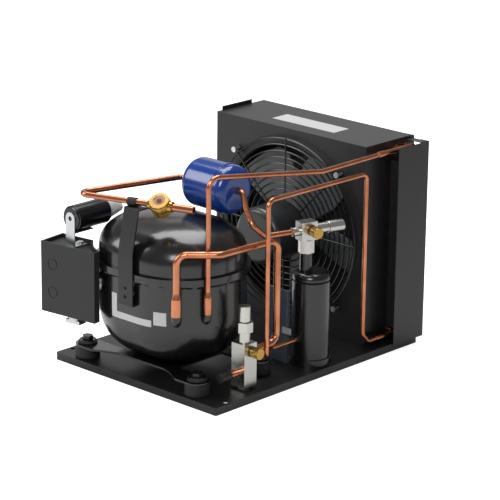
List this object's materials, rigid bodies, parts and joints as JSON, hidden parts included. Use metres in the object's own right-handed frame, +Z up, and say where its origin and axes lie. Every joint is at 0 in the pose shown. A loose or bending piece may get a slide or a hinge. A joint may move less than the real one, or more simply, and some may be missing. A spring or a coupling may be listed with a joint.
{
  "type": "condensing_unit",
  "caption": "Air-cooled condensing unit: hermetic compressor, liquid receiver, filter drier, sight glass, service valves and a fan-cooled condenser coil in a shroud on a base tray",
  "frame": {"origin": "centre of the tray's four mounting holes, on the plane that the tray stands on", "axes": "+X along the air flow, from the compressor to the condenser; +Y across the tray, away from the valves and the receiver; +Z up"},
  "size_m": [0.4421, 0.3012, 0.2979],
  "materials": {
    "tray_black": "satin",
    "shell_black": "gloss",
    "sheet_black": "satin",
    "box_plastic": "matte",
    "dark_plastic": "satin",
    "capacitor_case": "gloss",
    "rubber": "matte",
    "boot_clear": "translucent",
    "zinc_plate": "satin",
    "galvanised": "satin",
    "black_steel": "satin",
    "nickel_plate": "satin",
    "copper": "satin",
    "brass": "satin",
    "glass": "clear",
    "drier_blue": "gloss",
    "desiccant": "matte",
    "fan_plastic": "satin",
    "motor_paint": "satin",
    "steel": "satin",
    "winding": "satin",
    "iron": "machined",
    "fin_aluminium": "satin"
  },
  "bodies": {
    "base": {"base_tray": "tray_black", "compressor_grommets": "rubber", "grommet_sleeves": "zinc_plate", "compressor_bolts": "black_steel", "compressor_lower_shell": "shell_black", "compressor_upper_shell": "shell_black", "compressor_feet": "shell_black", "suction_stub": "shell_black", "discharge_stub": "shell_black", "stator_core": "steel", "stator_windings": "winding", "cylinder_block": "iron", "cylinder_head": "iron", "suspension_springs": "steel", "terminal_block": "steel", "electrical_box": "box_plastic", "start_relay": "dark_plastic", "overload_protector": "dark_plastic", "cable_clamp": "zinc_plate", "start_capacitor": "capacitor_case", "capacitor_strap": "zinc_plate", "capacitor_boot": "boot_clear", "sight_glass_bracket": "sheet_black", "tube_clip": "rubber", "sight_glass_body": "brass", "sight_glass_lens": "glass", "filter_drier": "drier_blue", "drier_core": "desiccant", "liquid_tube": "copper", "drier_inlet_tube": "copper", "receiver_tank": "shell_black", "upright_bracket": "galvanised", "receiver_valve_body": "nickel_plate", "receiver_valve_nut": "nickel_plate", "suction_valve_body": "nickel_plate", "suction_gland_nut": "nickel_plate", "suction_tube": "copper", "discharge_tube": "copper", "condenser_outlet_tube": "copper", "fan_shroud": "sheet_black", "fan_guard": "black_steel", "fan_motor": "motor_paint", "condenser_fins": "fin_aluminium", "condenser_tubes": "copper", "condenser_end_plates": "sheet_black", "condenser_side_cover": "sheet_black", "sheet_screws": "zinc_plate"},
    "fan": {"fan_blades": "fan_plastic", "fan_motor_rotor": "steel"},
    "crank": {"compressor_rotor": "steel", "crankshaft": "steel"},
    "piston_body": {"piston": "steel"},
    "rod_body": {"connecting_rod": "steel"},
    "suction_stem": {"suction_valve_stem": "steel"},
    "receiver_stem": {"receiver_valve_stem": "steel"},
    "suction_stem_cap_body": {"suction_stem_cap": "nickel_plate"},
    "suction_port_cap_body": {"suction_port_cap": "brass"},
    "suction_stub_cap_body": {"suction_stub_cap": "dark_plastic"},
    "receiver_stem_cap_body": {"receiver_stem_cap": "nickel_plate"},
    "receiver_port_cap_body": {"receiver_port_cap": "brass"}
  },
  "joints": [
    {"name": "fan_spin", "type": "hinge", "parent": "base", "child": "fan", "pos_m": [0.132, 0.0115, 0.15075], "axis": [1, 0, 0], "continuous": true},
    {"name": "compressor_spin", "type": "hinge", "parent": "base", "child": "crank", "pos_m": [-0.1225, 0.0055, 0.09], "axis": [0, 0, 1], "continuous": true},
    {"name": "piston_slide", "type": "slide", "parent": "base", "child": "piston_body", "axis": [0, -1, 0], "range_m": [0, 0.016]},
    {"name": "rod_swing", "type": "hinge", "parent": "piston_body", "child": "rod_body", "pos_m": [-0.1225, 0.0595, 0.147], "axis": [0, 0, 1], "range_deg": [-10, 10]},
    {"name": "suction_stem_turn", "type": "hinge", "parent": "base", "child": "suction_stem", "pos_m": [-0.119, -0.122, 0.09], "axis": [0, 0, 1], "range_deg": [-1440, 0]},
    {"name": "receiver_stem_turn", "type": "hinge", "parent": "base", "child": "receiver_stem", "pos_m": [0.02783, -0.11795, 0.1945], "axis": [0.9563, -0.2924, 0], "range_deg": [-1440, 0]},
    {"name": "suction_stem_cap_slide", "type": "slide", "parent": "base", "child": "suction_stem_cap_body", "axis": [0, 0, 1], "range_m": [0, 0.03]},
    {"name": "suction_port_cap_slide", "type": "slide", "parent": "base", "child": "suction_port_cap_body", "axis": [0, -1, 0], "range_m": [0, 0.02]},
    {"name": "suction_stub_cap_slide", "type": "slide", "parent": "base", "child": "suction_stub_cap_body", "axis": [-1, 0, 0], "range_m": [0, 0.03]},
    {"name": "receiver_stem_cap_slide", "type": "slide", "parent": "base", "child": "receiver_stem_cap_body", "axis": [0.9563, -0.2924, 0], "range_m": [0, 0.022]},
    {"name": "receiver_port_cap_slide", "type": "slide", "parent": "base", "child": "receiver_port_cap_body", "axis": [-0.2924, -0.9563, 0], "range_m": [0, 0.02]}
  ]
}
